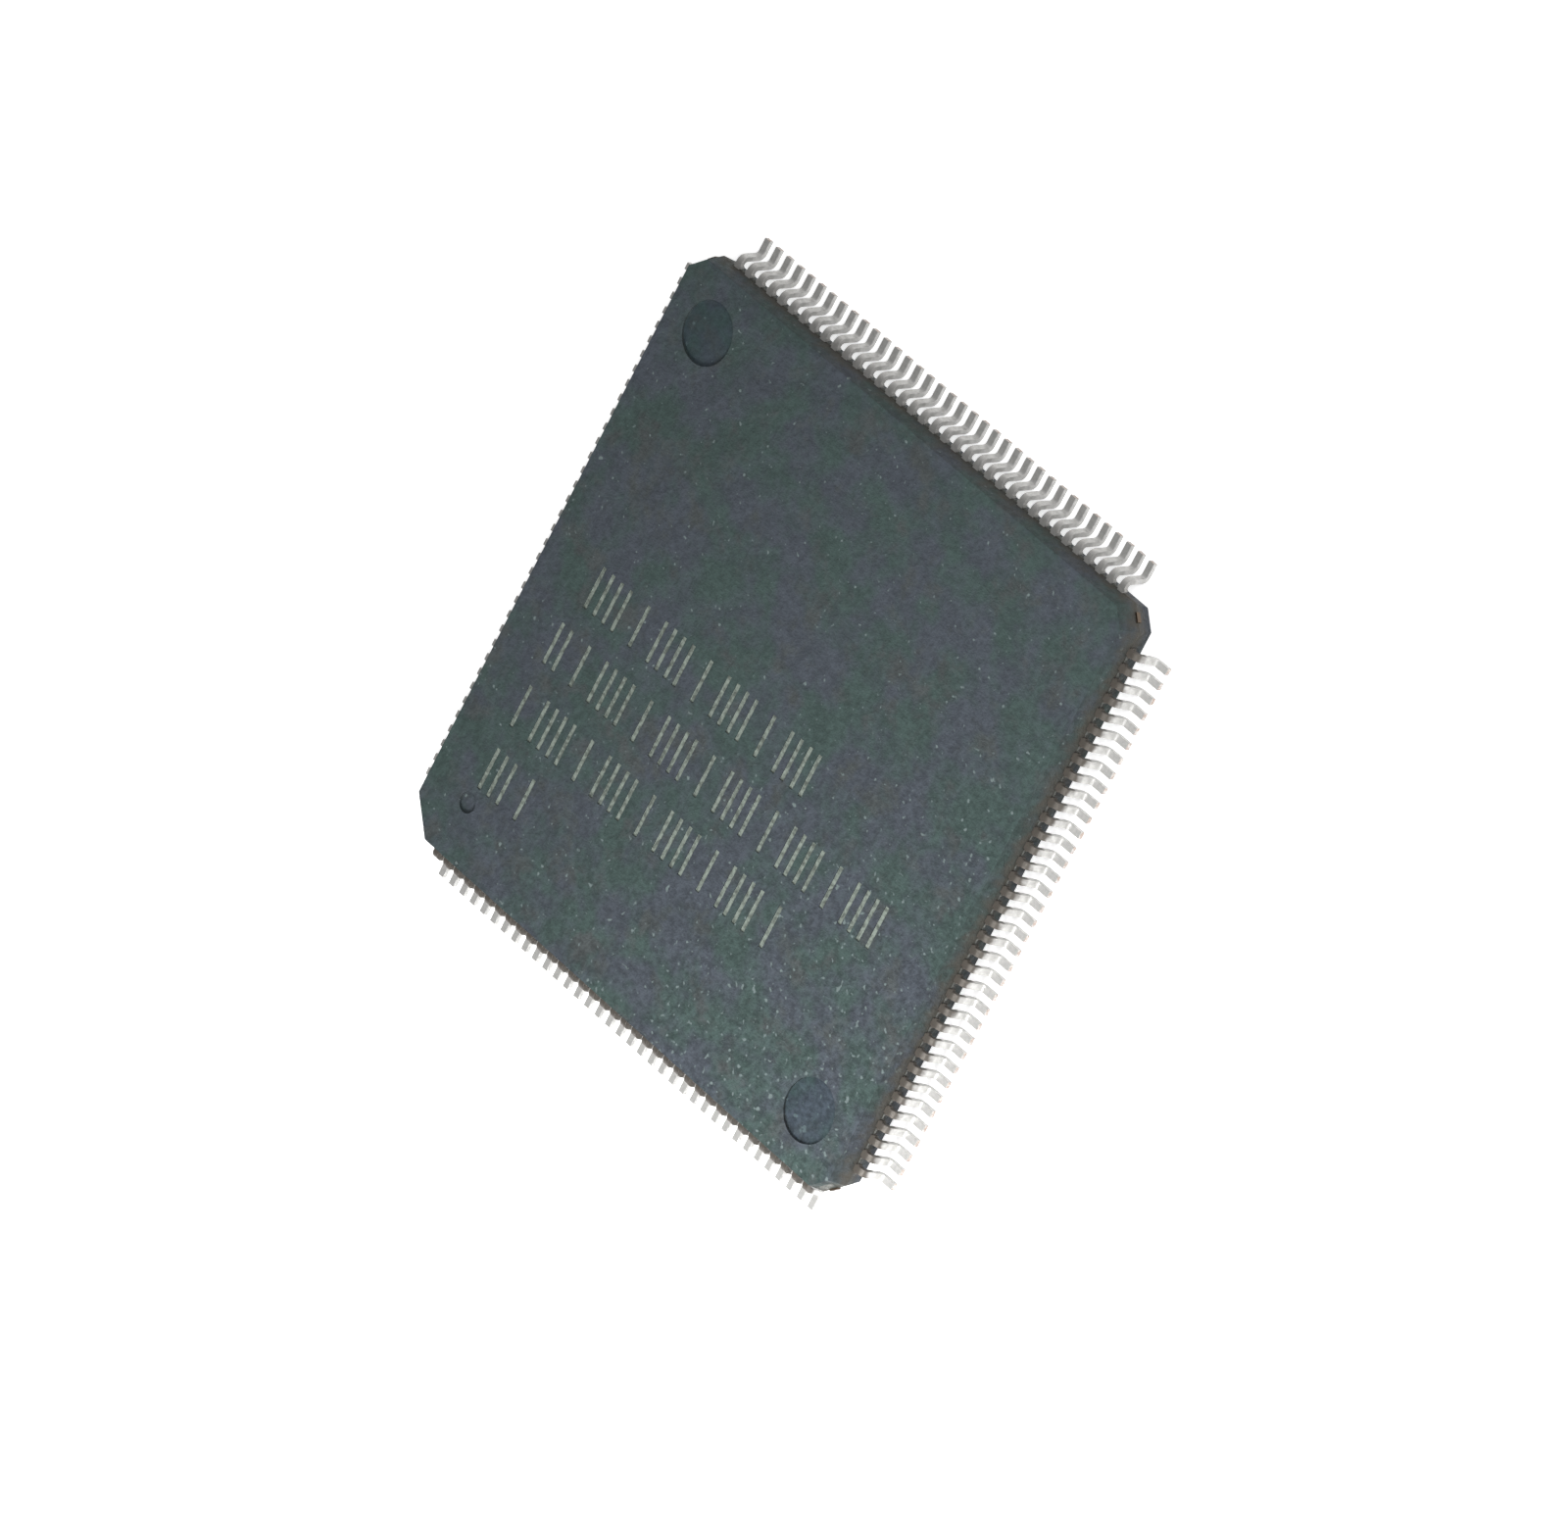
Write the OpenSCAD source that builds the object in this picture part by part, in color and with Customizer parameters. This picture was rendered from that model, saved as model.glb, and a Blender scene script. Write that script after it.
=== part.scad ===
// Thin quad flat package: a moulded chip body with gull-wing leads on all four
// sides, its lead frame, die and bond wires. Millimetres. +Z is up, the feet
// stand on Z = 0 and the origin is under the centre of the body.

/* [Moulded body] */
// Side of the square body, at its widest line
body_side = 20; // [19:0.5:26]
// Thickness of the body above the middle of the leads
upper_thick = 0.7; // [0.6:0.05:1.2]
// Thickness of the body below the middle of the leads
lower_thick = 0.7; // [0.6:0.05:1.2]
// Gap under the body when the feet stand on a board
standoff = 0.1; // [0.05:0.01:0.3]
// Slope of the body's sides from the vertical, in degrees
draft = 12; // [3:1:15]
// Chamfer of three corners, measured along each side
corner_cut = 0.6; // [0.3:0.05:0.9]
// Chamfer of the corner beside the first lead, measured along each side
first_corner_cut = 1.1; // [0.5:0.05:1.2]

/* [Moulded marks] */
// Diameter of the round ejector marks
ejector_d = 1.95; // [1:0.05:2.5]
// Depth of the round ejector marks
ejector_depth = 0.08; // [0.03:0.01:0.12]
// Distance of an ejector mark's centre from the two nearest sides
ejector_inset = 1.9; // [1.8:0.05:2.5]
// Diameter of the dimple beside the first lead
dimple_d = 0.65; // [0.4:0.05:1]
// Depth of the dimple beside the first lead
dimple_depth = 0.1; // [0.05:0.01:0.15]
// Distance of the dimple's centre from the two nearest sides
dimple_inset = 1.95; // [1.5:0.05:2.5]

/* [Laser marks] */
// Lengths of the four rows of plain strokes
row_lengths = [11.4, 15.9, 12.3, 2.3];
// Distance of the rows' left end from the left side
row_margin = 2; // [1:0.1:2.5]
// Distance of the first row's upper edge from the far side
first_row_drop = 9.55; // [5:0.05:10]
// Spacing of the rows
row_pitch = 2.18; // [1.8:0.01:2.4]
// Height of a stroke
stroke_height = 1.4; // [0.8:0.05:1.6]
// Width of a stroke
stroke_width = 0.16; // [0.1:0.01:0.25]
// Spacing of the strokes
stroke_pitch = 0.42; // [0.35:0.01:0.6]
// Depth of the laser marks
stroke_depth = 0.03; // [0.01:0.01:0.05]

/* [Leads] */
// Spacing of the leads
lead_pitch = 0.5; // [0.4:0.05:0.65]
// Width of a lead outside the body
lead_width = 0.22; // [0.17:0.01:0.27]
// Thickness of the lead frame
frame_thick = 0.15; // [0.1:0.01:0.2]
// Least distance of a lead's centre from a corner of the body
corner_margin = 1.25; // [1.25:0.05:2]
// How far the leads stand out from the body's side
lead_reach = 1; // [0.95:0.05:1.4]
// Length of the foot that lies flat on the board
foot_flat = 0.42; // [0.3:0.01:0.5]
// Slope of the leg from the vertical, in degrees
leg_slant = 8; // [0:1:12]
// Inner radius of both bends
bend_radius = 0.1; // [0.05:0.01:0.12]
// How far a trimmed dambar stub stands out beside a lead
stub_out = 0.04; // [0.01:0.01:0.05]
// Length of a stub along the lead
stub_length = 0.08; // [0.05:0.01:0.1]
// Gap between the body's side and the stub
stub_gap = 0.04; // [0.02:0.01:0.06]

/* [Fingers inside the body] */
// Length of a lead inside the body before it turns towards the die
finger_root = 0.5; // [0.3:0.05:0.8]
// Gap between the fingers at their tips
tip_gap = 0.13; // [0.08:0.01:0.15]
// Distance of the last tip in a row from the diagonal, along the row
tip_corner_margin = 0.9; // [0.6:0.05:1.2]
// Gap between the paddle's side and the finger tips
tip_clearance = 0.9; // [0.5:0.05:1.2]

/* [Paddle and tie bars] */
// Side of the square paddle under the die
paddle_side = 9.4; // [8.5:0.1:10]
// How far the paddle is set down below the leads
downset = 0.2; // [0.16:0.01:0.3]
// Width of a tie bar
tie_width = 0.3; // [0.2:0.01:0.35]
// Length of a tie bar before it slopes up
tie_flat = 0.3; // [0.1:0.05:0.6]
// Length of the tie bar's slope
tie_slope = 0.5; // [0.4:0.05:0.8]
// How far the cut end of a tie bar stands out of its corner
tie_nub = 0.04; // [0.01:0.01:0.1]

/* [Lead tape] */
// Distance of the tape from the finger tips
tape_offset = 1.3; // [0.8:0.05:1.6]
// Width of the tape
tape_width = 1; // [0.6:0.05:1.2]
// Thickness of the tape
tape_thick = 0.05; // [0.03:0.01:0.08]

/* [Die and bond wires] */
// Side of the square die
die_side = 7.6; // [6:0.1:8]
// Thickness of the die
die_thick = 0.28; // [0.2:0.01:0.35]
// Thickness of the glue under the die
glue_thick = 0.025; // [0.015:0.005:0.05]
// How far the glue shows beyond the die
glue_lip = 0.1; // [0.05:0.01:0.2]
// Diameter of a bond wire
wire_d = 0.025; // [0.02:0.005:0.05]
// Height of a wire's loop above the line between its ends
loop_height = 0.25; // [0.15:0.01:0.3]
// Diameter of a wire's weld
weld_d = 0.07; // [0.06:0.005:0.08]
// Height of a wire's weld
weld_height = 0.03; // [0.03:0.005:0.04]
// Distance of the welds from the die's side
pad_inset = 0.12; // [0.08:0.01:0.2]
// Distance of the last weld in a row from the die's corner
pad_corner_margin = 0.4; // [0.2:0.05:0.6]
// Distance of the welds from the finger tips
stitch_inset = 0.15; // [0.08:0.01:0.25]

/* [Hidden] */
$fn = 48;
bend_steps = 6;
side_names = ["west", "south", "east", "north"];
side_turns = [180, 270, 0, 90];
banks_per_side = 12;

half = body_side / 2;
lead_z = standoff + lower_thick;
body_top = lead_z + upper_thick;
corner_reach = (body_side - corner_cut) / sqrt(2);
first_corner_reach = (body_side - first_corner_cut) / sqrt(2);

// The row of leads fills a side up to the corner margins.
lead_count = floor((body_side - 2 * corner_margin) / lead_pitch + 0.001) + 1;
paddle_half = paddle_side / 2;
tip_at = paddle_half + tip_clearance;
tip_pitch = 2 * (tip_at - tip_corner_margin) / (lead_count - 1);
tip_width = tip_pitch - tip_gap;
pad_at = die_side / 2 - pad_inset;
pad_pitch = 2 * (die_side / 2 - pad_corner_margin) / (lead_count - 1);

// The bends and the leg share out the drop from the lead's middle to the foot's.
bend_mid = bend_radius + frame_thick / 2;
leg_drop = lead_z - frame_thick / 2;
leg_length = (leg_drop - 2 * bend_mid * (1 - sin(leg_slant))) / cos(leg_slant);
foot_start = half + lead_reach - foot_flat;
shoulder_end = foot_start - 2 * bend_mid * cos(leg_slant) - leg_length * sin(leg_slant);

paddle_z = lead_z - downset;
paddle_top = paddle_z + frame_thick / 2;
die_bottom = paddle_top + glue_thick;
die_top = die_bottom + die_thick;
finger_top = lead_z + frame_thick / 2;

function bank_name(s, b) = str("leads_", side_names[s], b < 9 ? "_0" : "_", b + 1);
function wires_name(s) = str("bond_wires_", side_names[s]);
function from_middle(i) = i - (lead_count - 1) / 2;
function bank_start(b) = floor(b * lead_count / banks_per_side + 0.001);
function arc(centre, r, a1, a2) =
    [for (k = [0:bend_steps])
        let (a = a1 + (a2 - a1) * k / bend_steps)
        centre + r * [cos(a), sin(a)]];

bank_names = [for (s = [0:3], b = [0:banks_per_side - 1]) bank_name(s, b)];
wire_names = [for (s = [0:3]) wires_name(s)];

// A long bar whose ends slope in above and below the widest line.
module drafted_bar(left, right) {
    low = lower_thick * tan(draft);
    high = upper_thick * tan(draft);
    rotate([90, 0, 0]) linear_extrude(height = 2 * body_side, center = true)
        polygon([
            [low - left, standoff], [right - low, standoff], [right, lead_z],
            [right - high, body_top], [high - left, body_top], [-left, lead_z]
        ]);
}

module outer_form() {
    intersection() {
        drafted_bar(half, half);
        rotate(90) drafted_bar(half, half);
        rotate(45) drafted_bar(first_corner_reach, corner_reach);
        rotate(-45) drafted_bar(corner_reach, corner_reach);
    }
}

module round_mark(x, y, z) {
    translate([x, y, z]) cylinder(d = ejector_d, h = 2 * ejector_depth, center = true);
}

module moulded_marks() {
    spot = half - ejector_inset;
    dimple = half - dimple_inset;
    round_mark(-spot, spot, body_top);
    round_mark(spot, -spot, body_top);
    for (x = [-spot, spot], y = [-spot, spot]) round_mark(x, y, standoff);
    translate([-dimple, -dimple, body_top])
        cylinder(d = dimple_d, h = 2 * dimple_depth, center = true);
}

// Upright strokes of one height, with a gap after every few.
module laser_marks() {
    for (r = [0:len(row_lengths) - 1])
        for (k = [0:floor(row_lengths[r] / stroke_pitch) - 1])
            if ((3 * k + 2 * r) % 7 > 1)
                translate([
                    row_margin - half + k * stroke_pitch,
                    half - first_row_drop - r * row_pitch - stroke_height,
                    body_top - stroke_depth
                ])
                    cube([stroke_width, stroke_height, 2 * stroke_depth]);
}

// The flat part of a lead: its finger in the body, its shoulder and dambar stubs.
module lead_flat(i) {
    lean = from_middle(i) * (tip_pitch - lead_pitch);
    root = half - finger_root;
    translate([0, 0, lead_z - frame_thick / 2]) {
        linear_extrude(height = frame_thick)
            polygon([
                [tip_at, lean - tip_width / 2], [root, -lead_width / 2],
                [shoulder_end, -lead_width / 2], [shoulder_end, lead_width / 2],
                [root, lead_width / 2], [tip_at, lean + tip_width / 2]
            ]);
        translate([half + stub_gap, -lead_width / 2 - stub_out, 0])
            cube([stub_length, lead_width + 2 * stub_out, frame_thick]);
    }
}

// The formed part of a lead: shoulder bend, leg, foot bend and foot.
module lead_formed() {
    upper = [shoulder_end, lead_z - bend_mid];
    lower = [foot_start, frame_thick / 2 + bend_mid];
    inner = bend_radius;
    outer = bend_radius + frame_thick;
    rotate([90, 0, 0]) linear_extrude(height = lead_width, center = true)
        polygon(concat(
            arc(upper, outer, 90, leg_slant),
            arc(lower, inner, 180 + leg_slant, 270),
            [[half + lead_reach, frame_thick], [half + lead_reach, 0]],
            arc(lower, outer, 270, 180 + leg_slant),
            arc(upper, inner, leg_slant, 90)
        ));
}

module lead(i) {
    translate([0, from_middle(i) * lead_pitch, 0]) {
        lead_flat(i);
        lead_formed();
    }
}

module lead_bank(s, b) {
    color("gainsboro") rotate(side_turns[s])
        for (i = [bank_start(b):bank_start(b + 1) - 1]) lead(i);
}

// One tie bar along the diagonal, from the paddle up to the cut end at its corner.
module tie_bar(corner) {
    start = paddle_half * sqrt(2);
    rise = frame_thick / 2;
    rotate([90, 0, 0]) linear_extrude(height = tie_width, center = true)
        polygon([
            [start - tie_width, paddle_z - rise],
            [start + tie_flat, paddle_z - rise],
            [start + tie_flat + tie_slope, lead_z - rise],
            [corner + tie_nub, lead_z - rise],
            [corner + tie_nub, lead_z + rise],
            [start + tie_flat + tie_slope, lead_z + rise],
            [start + tie_flat, paddle_z + rise],
            [start - tie_width, paddle_z + rise]
        ]);
}

module die_paddle() {
    color("peru") {
        translate([-paddle_half, -paddle_half, paddle_z - frame_thick / 2])
            cube([paddle_side, paddle_side, frame_thick]);
        for (turn = [-45, 45, 135]) rotate(turn) tie_bar(corner_reach);
        rotate(225) tie_bar(first_corner_reach);
    }
}

module square_plate(side, bottom, thick) {
    translate([-side / 2, -side / 2, bottom]) cube([side, side, thick]);
}

module die_glue() {
    color("silver") square_plate(die_side + 2 * glue_lip, paddle_top, glue_thick);
}

module die() {
    color("slategray") square_plate(die_side, die_bottom, die_thick);
}

module lead_tape() {
    hole = 2 * (tip_at + tape_offset);
    color("darkgoldenrod") difference() {
        square_plate(hole + 2 * tape_width, finger_top, tape_thick);
        square_plate(hole, finger_top - tape_thick, 3 * tape_thick);
    }
}

// A wire is one arc in an upright plane, with a round weld at each end.
module bond_wire(i) {
    from = [pad_at, from_middle(i) * pad_pitch, die_top];
    to = [tip_at + stitch_inset, from_middle(i) * tip_pitch, finger_top];
    run = to - from;
    flat_run = norm([run.x, run.y]);
    chord = norm(run);
    arc_radius = (chord * chord / 4 + loop_height * loop_height) / (2 * loop_height);
    half_angle = asin(chord / 2 / arc_radius);
    translate(from) cylinder(d = weld_d, h = weld_height);
    translate(to) cylinder(d = weld_d, h = weld_height);
    translate((from + to) / 2 + [0, 0, weld_height / 2])
        rotate([0, 0, atan2(run.y, run.x)])
            rotate([0, -atan2(run.z, flat_run), 0])
                translate([0, 0, loop_height - arc_radius])
                    rotate([90, 0, 0])
                        rotate([0, 0, 90 - half_angle])
                            rotate_extrude(angle = 2 * half_angle)
                                translate([arc_radius, 0]) circle(d = wire_d, $fn = 16);
}

module bond_wires(s) {
    color("gold") rotate(side_turns[s])
        for (i = [0:lead_count - 1]) bond_wire(i);
}

// The compound fills every space round the lead frame, the die and the wires.
module body() {
    color("dimgray") difference() {
        outer_form();
        moulded_marks();
        laser_marks();
        die_paddle();
        die_glue();
        die();
        lead_tape();
        for (turn = side_turns) rotate(turn) for (i = [0:lead_count - 1])
            translate([0, from_middle(i) * lead_pitch, 0]) lead_flat(i);
        for (s = [0:3]) bond_wires(s);
    }
}

body();
die_paddle();
die_glue();
die();
lead_tape();
for (s = [0:3], b = [0:banks_per_side - 1])
    lead_bank(s, b);
for (s = [0:3])
    bond_wires(s);
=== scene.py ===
import math
import random

import bpy
from mathutils import Matrix, Vector


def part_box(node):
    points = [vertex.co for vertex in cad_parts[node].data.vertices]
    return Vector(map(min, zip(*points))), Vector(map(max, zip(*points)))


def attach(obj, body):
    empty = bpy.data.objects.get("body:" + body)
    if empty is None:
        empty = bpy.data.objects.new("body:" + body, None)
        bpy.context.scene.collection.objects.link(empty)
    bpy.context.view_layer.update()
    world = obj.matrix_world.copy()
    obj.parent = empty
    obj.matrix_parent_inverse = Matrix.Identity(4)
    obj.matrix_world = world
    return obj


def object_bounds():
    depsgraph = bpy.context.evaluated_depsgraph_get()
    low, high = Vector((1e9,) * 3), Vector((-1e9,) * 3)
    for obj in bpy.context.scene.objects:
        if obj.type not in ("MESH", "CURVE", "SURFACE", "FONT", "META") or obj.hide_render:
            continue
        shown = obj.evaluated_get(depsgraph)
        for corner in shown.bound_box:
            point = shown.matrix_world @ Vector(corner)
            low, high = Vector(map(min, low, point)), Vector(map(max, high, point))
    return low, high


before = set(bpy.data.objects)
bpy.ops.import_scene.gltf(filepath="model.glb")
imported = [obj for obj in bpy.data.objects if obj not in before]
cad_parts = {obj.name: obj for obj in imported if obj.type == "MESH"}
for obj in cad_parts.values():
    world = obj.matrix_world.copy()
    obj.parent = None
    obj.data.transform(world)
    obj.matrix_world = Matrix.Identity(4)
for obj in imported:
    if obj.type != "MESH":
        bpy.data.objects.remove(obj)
cadLow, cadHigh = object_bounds()
print("frame loaded:", len(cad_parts), "nodes")

mm = 0.001
leadPitch = 0.5               # mm
leadCount = 36                # on each side
frameThick = 0.15             # mm, the sheet that the leads were stamped from
sideDraft = 12                # degrees, slope of the body's sides
tieHalfWidth = 0.15           # mm, the cut tie bar in each corner's chamfer
tieNub = 0.04                 # mm that it stands out

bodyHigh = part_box("body")[1]
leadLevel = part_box("leads_east_06")[1].z / mm - frameThick / 2    # mm, the parting line


# small helpers for building materials

def newMaterial(name):
    material = bpy.data.materials.new(name)
    material.use_nodes = True
    tree = material.node_tree
    shader = next(node for node in tree.nodes if node.type == "BSDF_PRINCIPLED")
    return material, tree, shader


def addNode(tree, kind, **settings):
    node = tree.nodes.new(kind)
    for name, value in settings.items():
        setattr(node, name, value)
    return node


def plug(tree, source, socket):
    tree.links.new(source, socket)


def setOrPlug(tree, value, socket):
    if isinstance(value, (int, float)):
        socket.default_value = value
    elif isinstance(value, tuple):
        socket.default_value = (*value, 1.0)
    else:
        plug(tree, value, socket)


def coordsInMm(tree):
    where = addNode(tree, "ShaderNodeTexCoord")
    scaled = addNode(tree, "ShaderNodeVectorMath", operation="SCALE")
    scaled.inputs["Scale"].default_value = 1 / mm
    plug(tree, where.outputs["Object"], scaled.inputs[0])
    return scaled.outputs["Vector"]


def splitAxes(tree, coords):
    node = addNode(tree, "ShaderNodeSeparateXYZ")
    plug(tree, coords, node.inputs[0])
    return node.outputs


def maths(tree, operation, first, second=0.0, third=0.0):
    node = addNode(tree, "ShaderNodeMath", operation=operation)
    for socket, value in zip(node.inputs, (first, second, third)):
        setOrPlug(tree, value, socket)
    return node.outputs[0]


def noise(tree, coords, perMm, detail=3.0, rough=0.5):
    node = addNode(tree, "ShaderNodeTexNoise")
    node.inputs["Scale"].default_value = perMm
    node.inputs["Detail"].default_value = detail
    node.inputs["Roughness"].default_value = rough
    plug(tree, coords, node.inputs["Vector"])
    return node.outputs["Fac"]


def ramp(tree, value, low, high, toLow=0.0, toHigh=1.0):
    node = addNode(tree, "ShaderNodeMapRange", interpolation_type="SMOOTHSTEP")
    node.inputs["From Min"].default_value = low
    node.inputs["From Max"].default_value = high
    node.inputs["To Min"].default_value = toLow
    node.inputs["To Max"].default_value = toHigh
    plug(tree, value, node.inputs["Value"])
    return node.outputs["Result"]


def mixColours(tree, factor, first, second, blend="MIX"):
    node = addNode(tree, "ShaderNodeMix", data_type="RGBA", blend_type=blend)
    setOrPlug(tree, factor, node.inputs["Factor"])
    setOrPlug(tree, first, node.inputs[6])
    setOrPlug(tree, second, node.inputs[7])
    return node.outputs[2]


def shaded(tree, colour, shade):
    return mixColours(tree, 1.0, colour, shade, "MULTIPLY")


def bumpFrom(tree, height, depthMm, strength=1.0, edgeMm=0.0):
    node = addNode(tree, "ShaderNodeBump")
    node.inputs["Strength"].default_value = strength
    node.inputs["Distance"].default_value = depthMm * mm
    plug(tree, height, node.inputs["Height"])
    if edgeMm:
        edge = addNode(tree, "ShaderNodeBevel", samples=4)
        edge.inputs["Radius"].default_value = edgeMm * mm
        plug(tree, edge.outputs["Normal"], node.inputs["Normal"])
    return node.outputs["Normal"]


# the camera

cameraSettings = {
    "azimuth": 119.54,        # degrees round from the front
    "elevation": 49.25,
    "roll": -85.64,
    "distance": 394.8,        # mm from what it aims at
    "aim": (1.04, -0.80, 0.8),
    "lens": 315.0,
    "clip": (0.01, 10.0),     # metres
}


def makeCamera(settings):
    turn, rise, roll = (math.radians(settings[name]) for name in ("azimuth", "elevation", "roll"))
    back = Vector((math.cos(rise) * math.sin(turn), -math.cos(rise) * math.cos(turn), math.sin(rise)))
    right = Vector((0, 0, 1)).cross(back).normalized()
    up = back.cross(right)
    rolledRight = right * math.cos(roll) + up * math.sin(roll)
    rolledUp = up * math.cos(roll) - right * math.sin(roll)
    camera = bpy.data.objects.new("camera", bpy.data.cameras.new("camera"))
    bpy.context.scene.collection.objects.link(camera)
    place = Matrix((rolledRight, rolledUp, back)).transposed().to_4x4()
    place.translation = (Vector(settings["aim"]) + back * settings["distance"]) * mm
    camera.matrix_world = place
    camera.data.lens = settings["lens"]
    camera.data.clip_start, camera.data.clip_end = settings["clip"]
    bpy.context.scene.camera = camera


makeCamera(cameraSettings)
print("camera placed")

# the moulded body; each "Ends" is the two noise levels, or places in mm, that a change runs between

compoundSettings = {
    "green": (0.040, 0.0605, 0.0565),
    "blue": (0.0480, 0.0560, 0.0675),
    "patchPerMm": 0.55,
    "patchEnds": (0.38, 0.62),
    "brown": (0.0490, 0.0560, 0.0570),
    "stainPerMm": 0.935,
    "stainEnds": (0.5, 0.72),
    "flowPerMm": 0.22,        # faint swirls where the resin ran in
    "flowTwist": 14.0,
    "flowDetail": 2.0,
    "flowDetailScale": 0.6,
    "flowEnds": (0.2, 0.8),
    "flowShade": (0.965, 1.035),
    "grainPerMm": 5.0,
    "grainEnds": (0.3, 0.7),
    "grainShade": 0.13,       # how strongly the grain shows in the colour
    "grainMore": 0.17,        # added to it as painted sparkle towards the corner by the gate, which faces the key light
    "grainDepth": 0.05,       # mm
    "finePerMm": 13.0,
    "fineShare": 0.3,         # of the grain's height
    "paintedSparkleEnds": (-5, 20),     # mm of x - y, over which the painted sparkle grows
    "speckPerMm": 5.2,
    "speckEnds": (0.69, 0.78),
    "speckMore": 0.06,        # more specks towards the corner facing the key light, as painted glints
    "speckColour": (0.12, 0.15, 0.15),
    "roughness": (0.7, 0.5),  # in the hollows and on the crests of the grain
    "gloss": 0.12,            # specular level
    "edge": 0.02,             # mm, rounding of the moulded edges
    "levelEnds": (0.4, 0.6),  # upright part of the normal, sides and top
    "paintedSideShade": 0.7,         # painted shade: the sides are a little darker than the top
    "flashColour": (0.050, 0.047, 0.040),
    "flashPerMm": 2.5,
    "flashEnds": (1.1, 0.4),  # mm from the parting line, with the noise added
    "floorMatch": 0.012,      # mm, how near a mark's depth is its floor
    "laserDepth": 0.03,       # mm
    "laserColour": (0.170, 0.196, 0.172),
    "laserPerMm": 7.0,
    "laserEnds": (0.3, 0.65),
    "laserShade": (0.5, 1.12),
    "ejectorDepth": 0.08,     # mm
    "ejectorShade": (0.73, 0.81, 0.85),
    "ejectorGrain": 0.6,      # how much of the grain the smooth floors keep
}


def compoundMaterial(settings, topMm, partingMm):
    material, tree, shader = newMaterial("mouldCompound")
    coords = coordsInMm(tree)
    axes = splitAxes(tree, coords)
    patches = ramp(tree, noise(tree, coords, settings["patchPerMm"], 3.0, 0.6), *settings["patchEnds"])
    colour = mixColours(tree, patches, settings["green"], settings["blue"])
    stains = ramp(tree, noise(tree, coords, settings["stainPerMm"], 3.0, 0.6), *settings["stainEnds"])
    colour = mixColours(tree, stains, colour, settings["brown"])
    swirls = addNode(tree, "ShaderNodeTexWave", wave_type="RINGS", rings_direction="Z")
    swirls.inputs["Scale"].default_value = settings["flowPerMm"]
    swirls.inputs["Distortion"].default_value = settings["flowTwist"]
    swirls.inputs["Detail"].default_value = settings["flowDetail"]
    swirls.inputs["Detail Scale"].default_value = settings["flowDetailScale"]
    plug(tree, coords, swirls.inputs["Vector"])
    flow = ramp(tree, swirls.outputs["Fac"], *settings["flowEnds"], *settings["flowShade"])

    # painted sparkle: the grain shows more strongly in the colour towards the corner facing the key light
    grain = noise(tree, coords, settings["grainPerMm"], 3.0, 0.6)
    paintedSparkle = ramp(tree, maths(tree, "SUBTRACT", axes["X"], axes["Y"]), *settings["paintedSparkleEnds"])
    strength = maths(tree, "MULTIPLY_ADD", paintedSparkle, settings["grainMore"], settings["grainShade"])
    swing = ramp(tree, grain, *settings["grainEnds"], -1.0, 1.0)
    shade = maths(tree, "MULTIPLY_ADD", swing, strength, 1.0)
    colour = shaded(tree, colour, maths(tree, "MULTIPLY", shade, flow))

    # the floors of the marks are told from the top by their depths
    facing = splitAxes(tree, addNode(tree, "ShaderNodeTexCoord").outputs["Normal"])
    level = ramp(tree, maths(tree, "ABSOLUTE", facing["Z"]), *settings["levelEnds"])
    onSide = maths(tree, "SUBTRACT", 1.0, level)
    laser = maths(tree, "COMPARE", axes["Z"], topMm - settings["laserDepth"], settings["floorMatch"])
    laser = maths(tree, "MULTIPLY", laser, level)
    ejector = maths(tree, "COMPARE", axes["Z"], topMm - settings["ejectorDepth"], settings["floorMatch"])
    ejector = maths(tree, "MULTIPLY", ejector, level)
    smoother = ramp(tree, ejector, 0.0, 1.0, 1.0, settings["ejectorGrain"])

    # pale filler specks, with more of them painted towards the corner facing the key light as glints
    specks = noise(tree, coords, settings["speckPerMm"], 1.5)
    specks = maths(tree, "MULTIPLY_ADD", paintedSparkle, settings["speckMore"], specks)
    specks = ramp(tree, specks, *settings["speckEnds"])
    specks = maths(tree, "MULTIPLY", specks, smoother)
    colour = mixColours(tree, specks, colour, settings["speckColour"])

    # painted shade darkens the sides, with a tan film of flash up them from the parting line
    colour = mixColours(tree, onSide, colour, shaded(tree, colour, (settings["paintedSideShade"],) * 3))
    climb = maths(tree, "ABSOLUTE", maths(tree, "SUBTRACT", axes["Z"], partingMm))
    climb = maths(tree, "ADD", climb, noise(tree, coords, settings["flashPerMm"]))
    film = ramp(tree, climb, *settings["flashEnds"])
    colour = mixColours(tree, maths(tree, "MULTIPLY", onSide, film), colour, settings["flashColour"])

    burnt = ramp(tree, noise(tree, coords, settings["laserPerMm"], 3.0), *settings["laserEnds"],
                 *settings["laserShade"])
    colour = mixColours(tree, laser, colour, shaded(tree, settings["laserColour"], burnt))
    colour = mixColours(tree, ejector, colour, shaded(tree, colour, settings["ejectorShade"]))
    plug(tree, colour, shader.inputs["Base Color"])

    shader.inputs["Specular IOR Level"].default_value = settings["gloss"]
    plug(tree, ramp(tree, grain, *settings["grainEnds"], *settings["roughness"]), shader.inputs["Roughness"])
    fine = noise(tree, coords, settings["finePerMm"], 2.0, 0.6)
    height = maths(tree, "MULTIPLY_ADD", fine, settings["fineShare"], grain)
    height = maths(tree, "MULTIPLY", height, smoother)
    plug(tree, bumpFrom(tree, height, settings["grainDepth"], 1.0, settings["edge"]), shader.inputs["Normal"])
    return material


# the tinned leads

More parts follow.
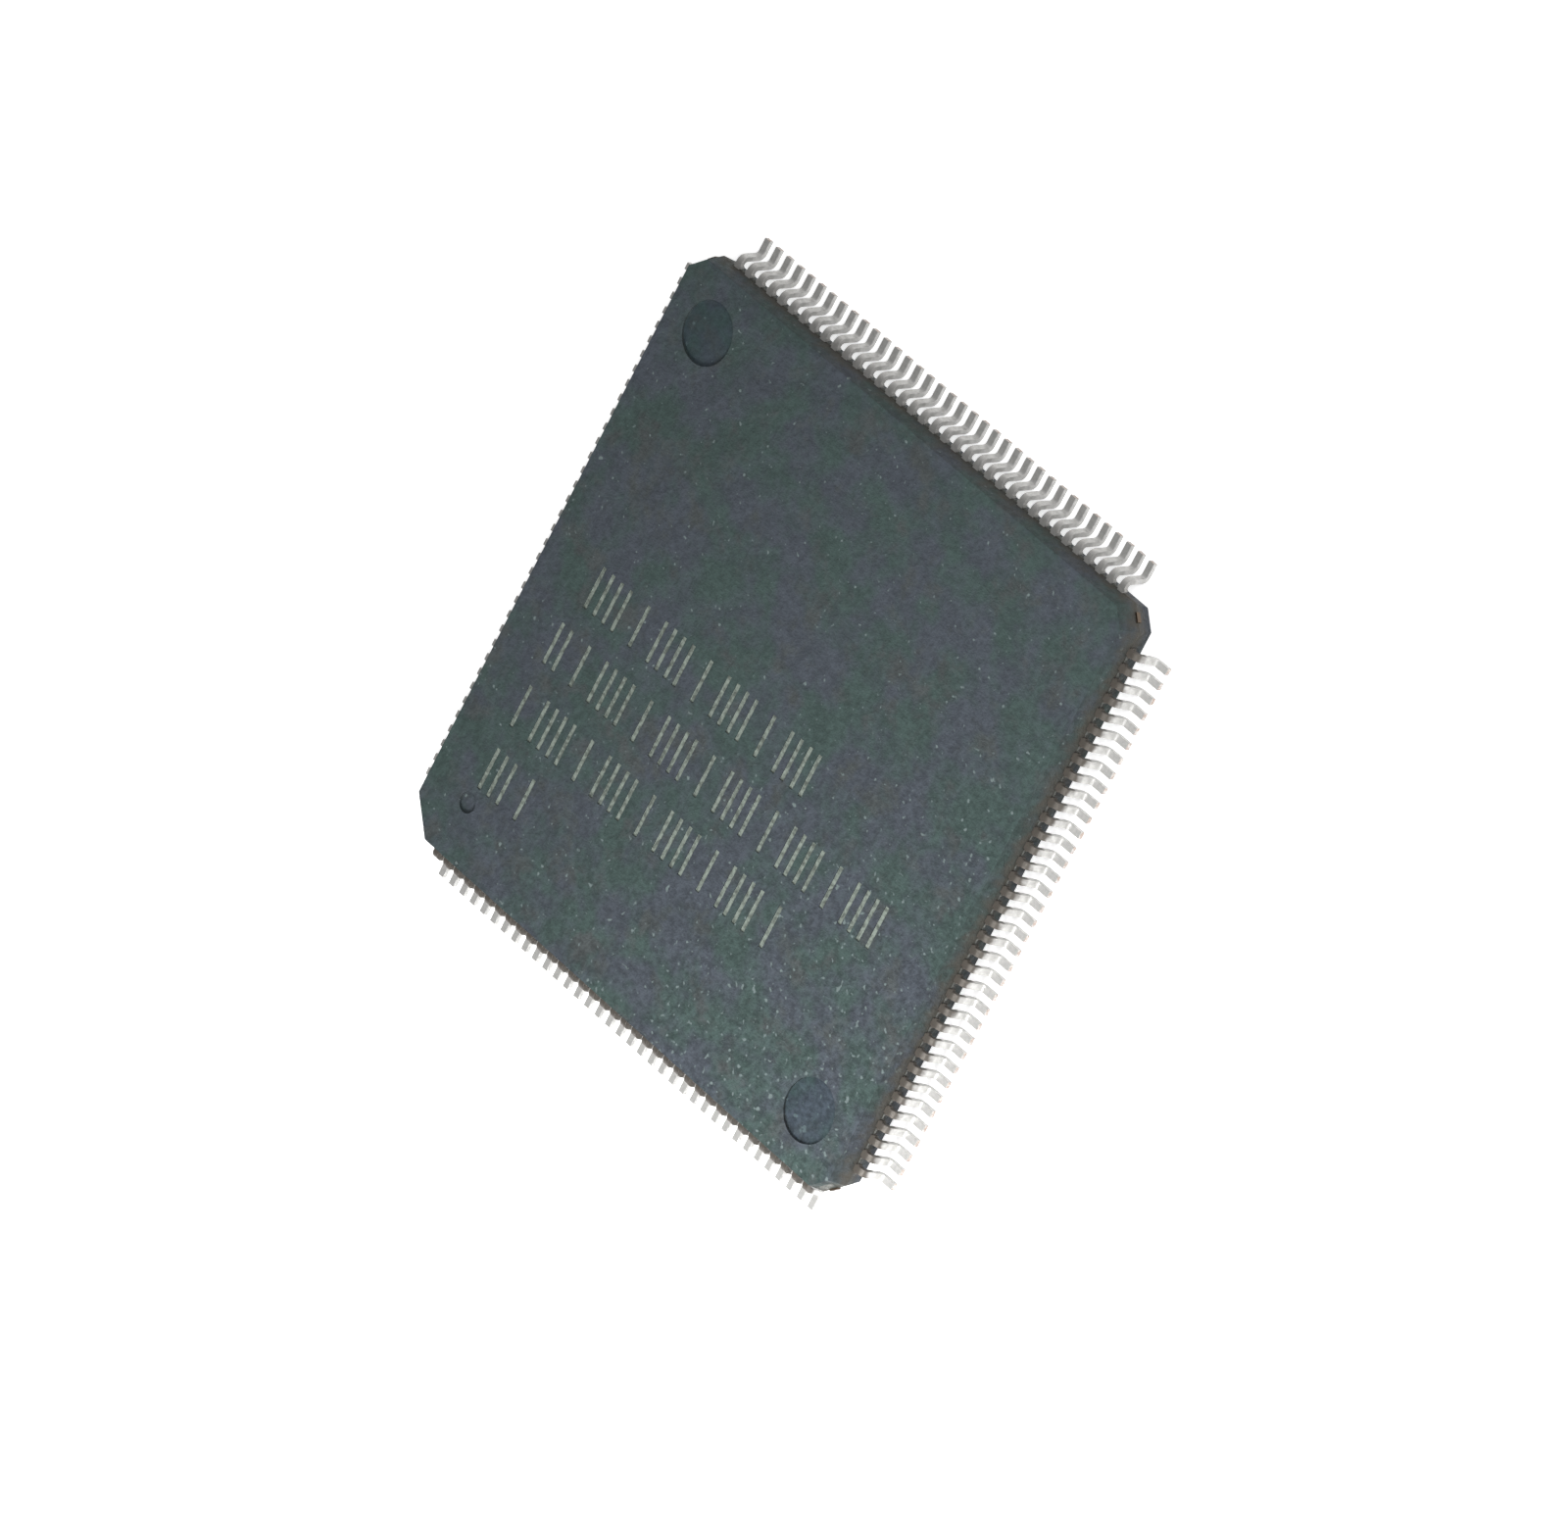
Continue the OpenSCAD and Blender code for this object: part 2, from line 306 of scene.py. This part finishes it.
tinSettings = {
    "tin": (0.53, 0.525, 0.51),
    "mottlePerMm": 7.0,
    "mottleEnds": (0.3, 0.7),
    "mottleShade": (0.84, 1.04),
    "metallic": (0.6, 0.35),       # of the clean tin, partly dull, and under the painted shade on the shoulder
    "roughness": (0.56, 0.42),     # in the darker and the paler mottles
    # painted shade on the trimmed shoulders by the body
    "shoulderShade": (0.075, 0.066, 0.056),
    "shoulderShadeOut": (0.52, 0.44),    # mm out from the body's side, where the painted shade ends and is full
    "shoulderShadeDrop": (0.28, 0.18),   # mm down from the middle of the lead
    "shoulderShadeFarSides": 0.3,           # how much of the painted shade the -X and +Y sides have
    "farSideEnds": (-1, 1),          # mm of x - y
    "shadeEdgeWanderPerMm": 3.0,
    "shadeEdgeWander": 0.12,                # mm that the painted shade's edge wanders
    "cutCopper": (0.31, 0.24, 0.20),
    "cutDepth": 0.004,             # mm from the foot's cut end
    "smearPerMm": 9.0,             # tin smeared over the cut
    "smearEnds": (0.4, 0.6),
    "smearShade": (0.25, 0.9),
    "grainPerMm": 22.0,
    "grainDepth": 0.004,           # mm
    "grainStrength": 0.8,
    "edge": 0.02,                  # mm, rounding of the stamped edges
}


def tinMaterial(settings, sideMm, leadMm, tipMm):
    material, tree, shader = newMaterial("tinnedLead")
    coords = coordsInMm(tree)
    axes = splitAxes(tree, coords)
    out = maths(tree, "MAXIMUM", maths(tree, "ABSOLUTE", axes["X"]), maths(tree, "ABSOLUTE", axes["Y"]))

    # painted shade darkens the trimmed shoulder by the body, fully on the +X and -Y sides and less on the -X
    # and +Y sides; the leg and foot are clean tin
    shadeEdgeWander = maths(tree, "MULTIPLY", noise(tree, coords, settings["shadeEdgeWanderPerMm"]), settings["shadeEdgeWander"])
    outEnds = [sideMm + reach for reach in settings["shoulderShadeOut"]]
    highEnds = [leadMm - drop for drop in settings["shoulderShadeDrop"]]
    near = ramp(tree, maths(tree, "ADD", out, shadeEdgeWander), *outEnds)
    high = ramp(tree, maths(tree, "ADD", axes["Z"], shadeEdgeWander), *highEnds)
    shadedSides = ramp(tree, maths(tree, "SUBTRACT", axes["X"], axes["Y"]), *settings["farSideEnds"],
                   settings["shoulderShadeFarSides"], 1.0)
    dark = maths(tree, "MULTIPLY", maths(tree, "MULTIPLY", near, high), shadedSides)
    mottled = ramp(tree, noise(tree, coords, settings["mottlePerMm"], 4.0, 0.6), *settings["mottleEnds"],
                   *settings["mottleShade"])
    colour = mixColours(tree, dark, shaded(tree, settings["tin"], mottled), settings["shoulderShade"])

    cut = maths(tree, "GREATER_THAN", out, tipMm - settings["cutDepth"])
    smeared = ramp(tree, noise(tree, coords, settings["smearPerMm"], 2.0), *settings["smearEnds"],
                   *settings["smearShade"])
    colour = mixColours(tree, maths(tree, "MULTIPLY", cut, smeared), colour, settings["cutCopper"])
    plug(tree, colour, shader.inputs["Base Color"])
    plug(tree, ramp(tree, dark, 0.0, 1.0, *settings["metallic"]), shader.inputs["Metallic"])
    plug(tree, ramp(tree, mottled, *settings["mottleShade"], *settings["roughness"]),
         shader.inputs["Roughness"])
    grain = noise(tree, coords, settings["grainPerMm"], 3.0)
    plug(tree, bumpFrom(tree, grain, settings["grainDepth"], settings["grainStrength"], settings["edge"]),
         shader.inputs["Normal"])
    return material


# the pieces sealed inside, and the broken resin

plainEnds = (0.3, 0.7)             # noise levels that their shade changes between

metalKind = {
    "metallic": 1.0,
    "shade": (0.8, 1.08),
    "rougher": (0.1, -0.05),       # in the darker and the paler spots
    "depth": 0.003,                # mm
}

resinKind = {
    "metallic": 0.0,
    "shade": (0.85, 1.1),
    "rougher": (0.1, -0.1),
    "depth": 0.004,
}

copperEnd = {
    "colour": (0.10, 0.075, 0.055),     # the tie bars' cut ends are old copper
    "reach": (13.0, 13.2),              # mm from the middle
}

plainSettings = {
    # kind, colour, roughness, grain per mm
    "copperFrame": (metalKind, (0.50, 0.30, 0.20), 0.4, 2.0),
    "goldWire": (metalKind, (0.95, 0.66, 0.25), 0.25, 5.0),
    "silverGlue": (resinKind, (0.55, 0.55, 0.52), 0.5, 4.0),
    "silicon": (resinKind, (0.09, 0.10, 0.14), 0.15, 1.5),
    "brownTape": (resinKind, (0.42, 0.17, 0.03), 0.3, 1.0),
    "brokenResin": (resinKind, (0.085, 0.088, 0.080), 0.6, 12.0),
}


def plainMaterial(name, end=None):
    kind, colour, roughness, grainPerMm = plainSettings[name]
    material, tree, shader = newMaterial(name)
    coords = coordsInMm(tree)
    tone = ramp(tree, noise(tree, coords, grainPerMm, 4.0), *plainEnds, *kind["shade"])
    colour = shaded(tree, colour, tone)
    if end:
        away = addNode(tree, "ShaderNodeVectorMath", operation="LENGTH")
        plug(tree, coords, away.inputs[0])
        colour = mixColours(tree, ramp(tree, away.outputs["Value"], *end["reach"]), colour, end["colour"])
    plug(tree, colour, shader.inputs["Base Color"])
    shader.inputs["Metallic"].default_value = kind["metallic"]
    plug(tree, ramp(tree, tone, *kind["shade"], *(roughness + more for more in kind["rougher"])),
         shader.inputs["Roughness"])
    plug(tree, bumpFrom(tree, noise(tree, coords, 3 * grainPerMm), kind["depth"]), shader.inputs["Normal"])
    return material


compound = compoundMaterial(compoundSettings, bodyHigh.z / mm, leadLevel)
tin = tinMaterial(tinSettings, bodyHigh.x / mm, leadLevel, cadHigh.x / mm)
gold = plainMaterial("goldWire")
nodeMaterials = {
    "body": compound,
    "die_paddle": plainMaterial("copperFrame", copperEnd),
    "die_glue": plainMaterial("silverGlue"),
    "die": plainMaterial("silicon"),
    "lead_tape": plainMaterial("brownTape"),
}
for name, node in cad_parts.items():
    if name.startswith("leads_"):
        material = tin
    elif name.startswith("bond_wires_"):
        material = gold
    else:
        material = nodeMaterials[name]
    node.data.materials.clear()
    node.data.materials.append(material)
print("materials on every node")

# thin resin left by the mould

flashSettings = {
    "reach": (0.015, 0.06),   # mm out of the side, least and most
    "sunk": 0.05,             # mm into the side, so that no gap shows
    "thick": 0.05,            # mm
    "thinnest": 0.6,          # share of that thickness
    "steps": 7,               # across each web
    "seed": 7,
}

gateSettings = {
    "width": 0.5,             # mm along the corner's chamfer
    "height": 0.24,
    "rise": 0.32,             # mm from the parting line to the stub's middle
    "out": 0.075,
    "lowest": 0.35,           # share of that height, for the rough face
    "sunk": 0.03,
    "steps": 10,
    "seed": 11,
}


def resinPiece(name, points, faces, material):
    mesh = bpy.data.meshes.new(name)
    mesh.from_pydata([Vector(point) * mm for point in points], [], faces)
    mesh.update()
    mesh.materials.append(material)
    piece = bpy.data.objects.new(name, mesh)
    bpy.context.scene.collection.objects.link(piece)
    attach(piece, "root")


def webRings(settings, chance, start, width):
    # one web between two leads, as four-cornered rings along the side
    least, most = settings["reach"]
    thinnest = settings["thinnest"]
    side = bodyHigh.x / mm
    rings = []
    for step in range(settings["steps"] + 1):
        along = start + width * step / settings["steps"]
        tip = side + least + (most - least) * chance.random()
        back = side - settings["sunk"]
        half = settings["thick"] / 2 * (thinnest + (1 - thinnest) * chance.random())
        rings.append([(back, along, -half), (back, along, half),
                      (tip, along, half / 2), (tip, along, -half / 2)])
    return rings


def makeFlash(settings, material):
    chance = random.Random(settings["seed"])
    banks = [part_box(name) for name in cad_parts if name.startswith("leads_east_")]
    lowest = min(low.y for low, high in banks) / mm
    highest = max(high.y for low, high in banks) / mm
    stubbedWidth = (highest - lowest) - (leadCount - 1) * leadPitch    # one lead with its dambar stubs
    points, faces = [], []
    for quarter in range(4):
        turn = Matrix.Rotation(quarter * math.pi / 2, 3, "Z")
        for gap in range(leadCount - 1):
            start = lowest + stubbedWidth + gap * leadPitch
            rings = webRings(settings, chance, start, leadPitch - stubbedWidth)
            base = len(points)
            points += [turn @ Vector((x, y, leadLevel + z)) for ring in rings for x, y, z in ring]
            for step in range(settings["steps"]):
                here = base + 4 * step
                for corner in range(4):
                    after = (corner + 1) % 4
                    faces.append((here + corner, here + after, here + 4 + after, here + 4 + corner))
            last = base + 4 * settings["steps"]
            faces.append((base + 3, base + 2, base + 1, base))
            faces.append((last, last + 1, last + 2, last + 3))
    resinPiece("resin_flash", points, faces, material)


def makeGate(settings, material):
    # the broken stub where the resin ran in, above the tie bar of one corner
    chance = random.Random(settings["seed"])
    lowest = settings["lowest"]
    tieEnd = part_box("die_paddle")[1].x / mm * math.sqrt(2) - tieHalfWidth
    chamfer = tieEnd - tieNub - settings["rise"] * math.tan(math.radians(sideDraft))
    outward = Vector((1, -1, 0)).normalized()
    across = Vector((1, 1, 0)).normalized()
    steps = settings["steps"]
    points, faces = [], []
    for row in range(steps + 1):
        for column in range(steps + 1):
            u, v = 2 * column / steps - 1, 2 * row / steps - 1
            dome = max(0.0, 1 - u ** 4) * max(0.0, 1 - v ** 4)
            rough = settings["out"] * (lowest + (1 - lowest) * chance.random())
            out = -settings["sunk"] + dome * (settings["sunk"] + rough)
            level = leadLevel + settings["rise"] + v * settings["height"] / 2
            points.append(outward * (chamfer + out) + across * (u * settings["width"] / 2)
                          + Vector((0, 0, level)))
    wide = steps + 1
    for row in range(steps):
        for column in range(steps):
            here = row * wide + column
            faces.append((here, here + 1, here + 1 + wide, here + wide))
    rim = list(range(wide))
    rim += [row * wide + steps for row in range(1, wide)]
    rim += [steps * wide + column for column in range(steps - 1, -1, -1)]
    rim += [row * wide for row in range(steps - 1, 0, -1)]
    faces.append(tuple(reversed(rim)))
    resinPiece("gate_stub", points, faces, material)


resin = plainMaterial("brokenResin")
makeFlash(flashSettings, resin)
makeGate(gateSettings, resin)
print("resin flash and gate stub made")

# floor and light

floorSettings = {
    "size": 1.2,                   # metres
    "drop": 0.005,                 # mm under the feet
    "colour": (0.86, 0.86, 0.86),
    "roughness": 0.8,
    "glow": 0.62,
}

keySettings = {
    "place": (22, -30, 30),        # mm
    "aim": (10, -10, 1.5),
    "size": 24,                    # mm
    "power": 0.0335,
}

fillSettings = {
    "place": (38, 36, 45),
    "aim": (0, 0, 1.5),
    "size": 30,
    "power": 0.0235,
}

skySettings = {
    "heights": (0.15, 0.75),       # upright part of the direction, low and high
    "brightness": (0.85, 0.25),    # at them
}


def makeFloor(settings):
    half = settings["size"] / 2
    level = cadLow.z - settings["drop"] * mm
    mesh = bpy.data.meshes.new("floor")
    mesh.from_pydata([(-half, -half, level), (half, -half, level), (half, half, level), (-half, half, level)],
                     [], [(0, 1, 2, 3)])
    floor = bpy.data.objects.new("floor", mesh)
    bpy.context.scene.collection.objects.link(floor)
    material, _, shader = newMaterial("paleFloor")
    shader.inputs["Base Color"].default_value = (*settings["colour"], 1.0)
    shader.inputs["Roughness"].default_value = settings["roughness"]
    shader.inputs["Emission Color"].default_value = (1.0, 1.0, 1.0, 1.0)
    shader.inputs["Emission Strength"].default_value = settings["glow"]
    mesh.materials.append(material)


def makeSoftbox(name, settings):
    light = bpy.data.lights.new(name, "AREA")
    light.shape = "SQUARE"
    light.size = settings["size"] * mm
    light.energy = settings["power"]
    lamp = bpy.data.objects.new(name, light)
    bpy.context.scene.collection.objects.link(lamp)
    place, aim = Vector(settings["place"]), Vector(settings["aim"])
    lamp.location = place * mm
    lamp.rotation_mode = "QUATERNION"
    lamp.rotation_quaternion = (place - aim).to_track_quat("Z", "Y")
    lamp.visible_camera = False


def makeSky(settings):
    world = bpy.data.worlds.new("sky")
    world.use_nodes = True
    tree = world.node_tree
    background = tree.nodes["Background"]
    background.inputs["Color"].default_value = (1.0, 1.0, 1.0, 1.0)
    where = addNode(tree, "ShaderNodeTexCoord")
    height = splitAxes(tree, where.outputs["Generated"])["Z"]
    plug(tree, ramp(tree, height, *settings["heights"], *settings["brightness"]),
         background.inputs["Strength"])
    bpy.context.scene.world = world


makeFloor(floorSettings)
makeSoftbox("key", keySettings)
makeSoftbox("fill", fillSettings)
makeSky(skySettings)
bpy.context.scene.view_settings.view_transform = "Standard"
print("stage lit")
